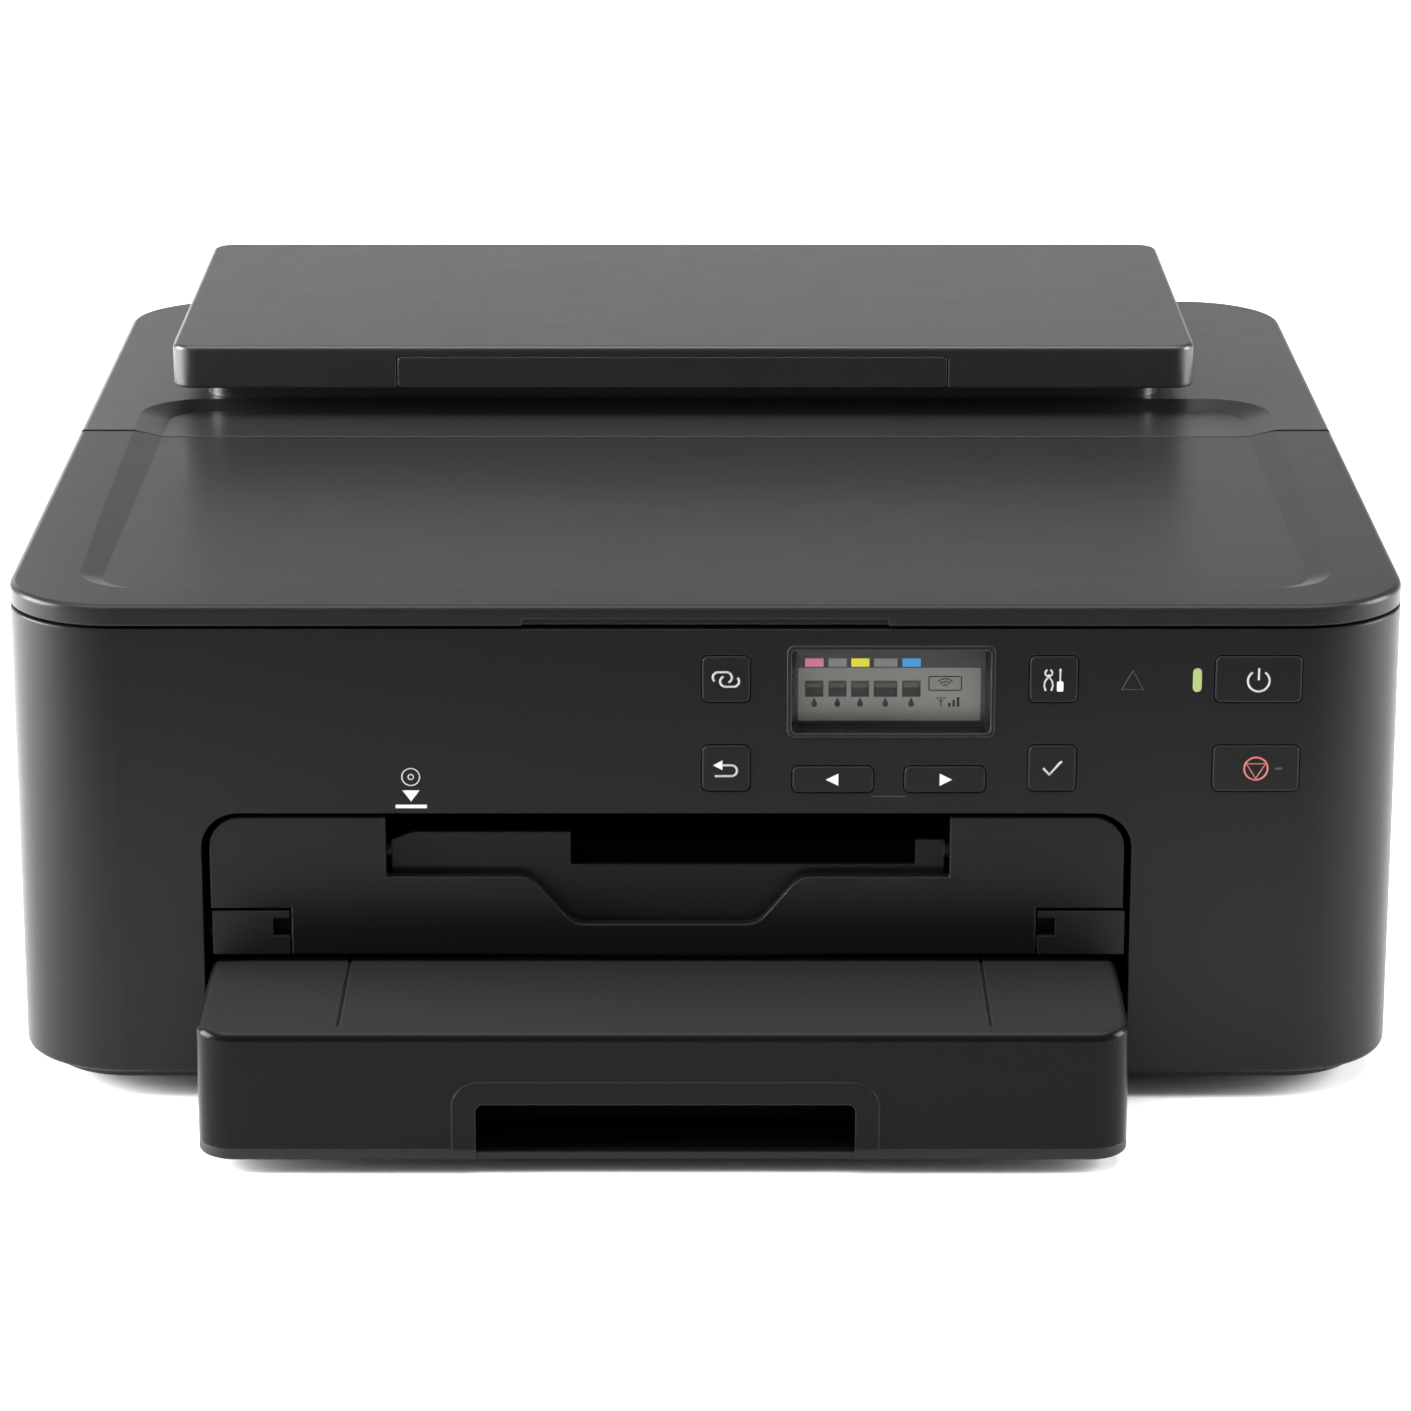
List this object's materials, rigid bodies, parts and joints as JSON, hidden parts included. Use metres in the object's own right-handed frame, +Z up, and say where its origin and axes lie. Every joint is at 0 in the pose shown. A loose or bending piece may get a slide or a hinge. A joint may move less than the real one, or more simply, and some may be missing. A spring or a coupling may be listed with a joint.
{
  "type": "inkjet printer",
  "caption": "Black A4 inkjet printer with an extended front paper cassette, fold-down output tray, small display and a raised cover over the rear paper tray.",
  "frame": {"origin": "on the floor, under the middle of the printer's bounding box with the cassette drawn out to full length", "axes": "+Z up, +Y from the front with the control panel to the rear, +X to the right seen from the front"},
  "size_m": [0.372, 0.419, 0.158],
  "materials": {
    "case_black": "satin",
    "top_black": "satin",
    "gloss_black": "gloss",
    "inner_black": "matte",
    "inner_grey": "matte",
    "button_black": "satin",
    "rubber_black": "matte",
    "display_clear": "polished",
    "lamp_green": "gloss",
    "board_green": "satin",
    "steel": "satin",
    "gear_white": "satin",
    "gear_natural": "satin",
    "supply_metal": "satin",
    "roller_grey": "matte",
    "ink_black": "satin",
    "ink_grey": "satin",
    "ink_cyan": "satin",
    "ink_magenta": "satin",
    "ink_yellow": "satin",
    "belt_black": "matte"
  },
  "bodies": {
    "printer": {"base_frame": "inner_black", "carriage_belt": "belt_black", "carriage_motor": "steel", "carriage_rail": "steel", "circuit_boards": "board_green", "display_bezel": "gloss_black", "display_window": "display_clear", "feed_motor": "steel", "middle_frame": "inner_black", "outer_case": "case_black", "pinch_roller_holder": "inner_black", "platen": "inner_black", "power_lamp": "lamp_green", "power_supply": "supply_metal", "purge_unit": "inner_grey", "rear_panel": "case_black", "rear_top_frame": "top_black", "rear_tray": "inner_black", "rubber_feet": "rubber_black", "side_plates": "steel", "upper_deck": "inner_black"},
    "top_cover": {"top_cover": "top_black"},
    "rear_tray_cover": {"rear_tray_cover": "top_black", "tray_cover_liner": "inner_black"},
    "paper_support": {"paper_support": "inner_black"},
    "rear_cover": {"rear_cover": "case_black"},
    "rear_feed_roller": {"rear_feed_roller": "roller_grey"},
    "rear_guide_left": {"rear_guide_left": "inner_grey"},
    "rear_guide_right": {"rear_guide_right": "inner_grey"},
    "output_tray": {"output_tray": "gloss_black"},
    "output_flap": {"output_flap": "inner_black"},
    "feed_roller": {"feed_roller": "roller_grey"},
    "eject_roller": {"eject_roller": "roller_grey"},
    "idler_gear": {"idler_gear": "gear_white"},
    "motor_pinion": {"motor_pinion": "gear_natural"},
    "pinch_rollers": {"pinch_rollers": "roller_grey"},
    "carriage": {"carriage": "inner_black"},
    "drive_pulley": {"drive_pulley": "gear_natural"},
    "idler_pulley": {"idler_pulley": "gear_natural"},
    "ink_tank_black": {"ink_tank_black": "ink_grey"},
    "ink_tank_cyan": {"ink_tank_cyan": "ink_cyan"},
    "ink_tank_large_black": {"ink_tank_large_black": "ink_black"},
    "ink_tank_magenta": {"ink_tank_magenta": "ink_magenta"},
    "ink_tank_yellow": {"ink_tank_yellow": "ink_yellow"},
    "back_button": {"back_button": "button_black"},
    "left_button": {"left_button": "button_black"},
    "link_button": {"link_button": "button_black"},
    "ok_button": {"ok_button": "button_black"},
    "power_button": {"power_button": "button_black"},
    "right_button": {"right_button": "button_black"},
    "setup_button": {"setup_button": "button_black"},
    "stop_button": {"stop_button": "button_black"},
    "pickup_arm": {"pickup_arm": "inner_grey"},
    "pickup_roller": {"pickup_roller": "roller_grey"},
    "cassette": {"cassette_tray": "inner_black"},
    "cassette_front": {"cassette_front": "gloss_black", "cassette_front_base": "inner_black"},
    "cassette_guide_left": {"cassette_guide_left": "inner_grey"},
    "cassette_guide_right": {"cassette_guide_right": "inner_grey"},
    "cassette_length_guide": {"cassette_length_guide": "inner_grey"}
  },
  "joints": [
    {"name": "top_cover_hinge", "type": "hinge", "parent": "printer", "child": "top_cover", "pos_m": [0, 0.0315, 0.1352], "axis": [-1, 0, 0], "range_deg": [0, 70]},
    {"name": "rear_tray_cover_hinge", "type": "hinge", "parent": "printer", "child": "rear_tray_cover", "pos_m": [-0.007, 0.205, 0.1417], "axis": [-1, 0, 0], "range_deg": [0, 110]},
    {"name": "paper_support_slide", "type": "slide", "parent": "rear_tray_cover", "child": "paper_support", "axis": [0, -1, 0], "range_m": [0, 0.08]},
    {"name": "rear_cover_slide", "type": "slide", "parent": "printer", "child": "rear_cover", "axis": [0, 1, 0], "range_m": [0, 0.06]},
    {"name": "rear_guide_left_slide", "type": "slide", "parent": "printer", "child": "rear_guide_left", "axis": [1, 0, 0], "range_m": [0, 0.055]},
    {"name": "rear_guide_right_slide", "type": "slide", "parent": "printer", "child": "rear_guide_right", "axis": [-1, 0, 0], "range_m": [0, 0.055]},
    {"name": "output_tray_hinge", "type": "hinge", "parent": "printer", "child": "output_tray", "pos_m": [-0.01, -0.1521, 0.0445], "axis": [1, 0, 0], "range_deg": [0, 90]},
    {"name": "output_flap_hinge", "type": "hinge", "parent": "output_tray", "child": "output_flap", "pos_m": [-0.01, -0.1491, 0.069], "axis": [1, 0, 0], "range_deg": [0, 180]},
    {"name": "carriage_slide", "type": "slide", "parent": "printer", "child": "carriage", "axis": [-1, 0, 0], "range_m": [0, 0.22]},
    {"name": "drive_pulley_spin", "type": "hinge", "parent": "printer", "child": "drive_pulley", "pos_m": [-0.14, 0.0235, 0.107], "axis": [0, 1, 0], "range_deg": [0, 2550]},
    {"name": "idler_pulley_spin", "type": "hinge", "parent": "printer", "child": "idler_pulley", "pos_m": [0.158, 0.0235, 0.107], "axis": [0, 1, 0], "range_deg": [0, 2550]},
    {"name": "ink_tank_large_black_lift", "type": "slide", "parent": "carriage", "child": "ink_tank_large_black", "axis": [0, 0, 1], "range_m": [0, 0.014]},
    {"name": "ink_tank_black_lift", "type": "slide", "parent": "carriage", "child": "ink_tank_black", "axis": [0, 0, 1], "range_m": [0, 0.014]},
    {"name": "ink_tank_cyan_lift", "type": "slide", "parent": "carriage", "child": "ink_tank_cyan", "axis": [0, 0, 1], "range_m": [0, 0.014]},
    {"name": "ink_tank_magenta_lift", "type": "slide", "parent": "carriage", "child": "ink_tank_magenta", "axis": [0, 0, 1], "range_m": [0, 0.014]},
    {"name": "ink_tank_yellow_lift", "type": "slide", "parent": "carriage", "child": "ink_tank_yellow", "axis": [0, 0, 1], "range_m": [0, 0.014]},
    {"name": "link_button_press", "type": "slide", "parent": "printer", "child": "link_button", "axis": [0, 1, 0], "range_m": [0, 0.0008], "stiffness_N_per_m": 400},
    {"name": "back_button_press", "type": "slide", "parent": "printer", "child": "back_button", "axis": [0, 1, 0], "range_m": [0, 0.0008], "stiffness_N_per_m": 400},
    {"name": "left_button_press", "type": "slide", "parent": "printer", "child": "left_button", "axis": [0, 1, 0], "range_m": [0, 0.0008], "stiffness_N_per_m": 400},
    {"name": "right_button_press", "type": "slide", "parent": "printer", "child": "right_button", "axis": [0, 1, 0], "range_m": [0, 0.0008], "stiffness_N_per_m": 400},
    {"name": "setup_button_press", "type": "slide", "parent": "printer", "child": "setup_button", "axis": [0, 1, 0], "range_m": [0, 0.0008], "stiffness_N_per_m": 400},
    {"name": "ok_button_press", "type": "slide", "parent": "printer", "child": "ok_button", "axis": [0, 1, 0], "range_m": [0, 0.0008], "stiffness_N_per_m": 400},
    {"name": "power_button_press", "type": "slide", "parent": "printer", "child": "power_button", "axis": [0, 1, 0], "range_m": [0, 0.0008], "stiffness_N_per_m": 400},
    {"name": "stop_button_press", "type": "slide", "parent": "printer", "child": "stop_button", "axis": [0, 1, 0], "range_m": [0, 0.0008], "stiffness_N_per_m": 400},
    {"name": "feed_roller_spin", "type": "hinge", "parent": "printer", "child": "feed_roller", "pos_m": [0, 0.0045, 0.07], "axis": [1, 0, 0], "continuous": true},
    {"name": "eject_roller_spin", "type": "hinge", "parent": "printer", "child": "eject_roller", "pos_m": [0, -0.0605, 0.07], "axis": [1, 0, 0], "continuous": true},
    {"name": "idler_gear_spin", "type": "hinge", "parent": "printer", "child": "idler_gear", "pos_m": [-0.143, -0.028, 0.07], "axis": [1, 0, 0], "continuous": true},
    {"name": "motor_pinion_spin", "type": "hinge", "parent": "printer", "child": "motor_pinion", "pos_m": [-0.143, 0.01978, 0.04897], "axis": [1, 0, 0], "continuous": true},
    {"name": "pinch_rollers_spin", "type": "hinge", "parent": "printer", "child": "pinch_rollers", "pos_m": [0, 0.0045, 0.07956], "axis": [1, 0, 0], "continuous": true},
    {"name": "rear_feed_roller_spin", "type": "hinge", "parent": "printer", "child": "rear_feed_roller", "pos_m": [-0.01, 0.14724, 0.0947], "axis": [1, 0, 0], "continuous": true},
    {"name": "pickup_arm_hinge", "type": "hinge", "parent": "printer", "child": "pickup_arm", "pos_m": [-0.01, 0.0405, 0.058], "axis": [1, 0, 0], "range_deg": [0, 12]},
    {"name": "pickup_roller_spin", "type": "hinge", "parent": "pickup_arm", "child": "pickup_roller", "pos_m": [-0.01, 0.0825, 0.0225], "axis": [1, 0, 0], "continuous": true},
    {"name": "cassette_slide", "type": "slide", "parent": "printer", "child": "cassette", "axis": [0, -1, 0], "range_m": [0, 0.22]},
    {"name": "cassette_front_slide", "type": "slide", "parent": "cassette", "child": "cassette_front", "axis": [0, -1, 0], "range_m": [-0.054, 0]},
    {"name": "cassette_guide_left_slide", "type": "slide", "parent": "cassette", "child": "cassette_guide_left", "axis": [1, 0, 0], "range_m": [0, 0.05]},
    {"name": "cassette_guide_right_slide", "type": "slide", "parent": "cassette", "child": "cassette_guide_right", "axis": [-1, 0, 0], "range_m": [0, 0.05]},
    {"name": "cassette_length_guide_slide", "type": "slide", "parent": "cassette_front", "child": "cassette_length_guide", "axis": [0, 1, 0], "range_m": [0, 0.03]}
  ],
  "couplings": [
    {"joint": "rear_guide_right_slide", "follows": "rear_guide_left_slide", "ratio": 1},
    {"joint": "output_flap_hinge", "follows": "output_tray_hinge", "ratio": 2},
    {"joint": "drive_pulley_spin", "follows": "carriage_slide", "rad_per_m": 200},
    {"joint": "idler_pulley_spin", "follows": "carriage_slide", "rad_per_m": 200},
    {"joint": "eject_roller_spin", "follows": "feed_roller_spin", "ratio": 1},
    {"joint": "idler_gear_spin", "follows": "feed_roller_spin", "ratio": -1.6},
    {"joint": "motor_pinion_spin", "follows": "feed_roller_spin", "ratio": -3.3333},
    {"joint": "pinch_rollers_spin", "follows": "feed_roller_spin", "ratio": -1.7143},
    {"joint": "cassette_guide_right_slide", "follows": "cassette_guide_left_slide", "ratio": 1}
  ]
}
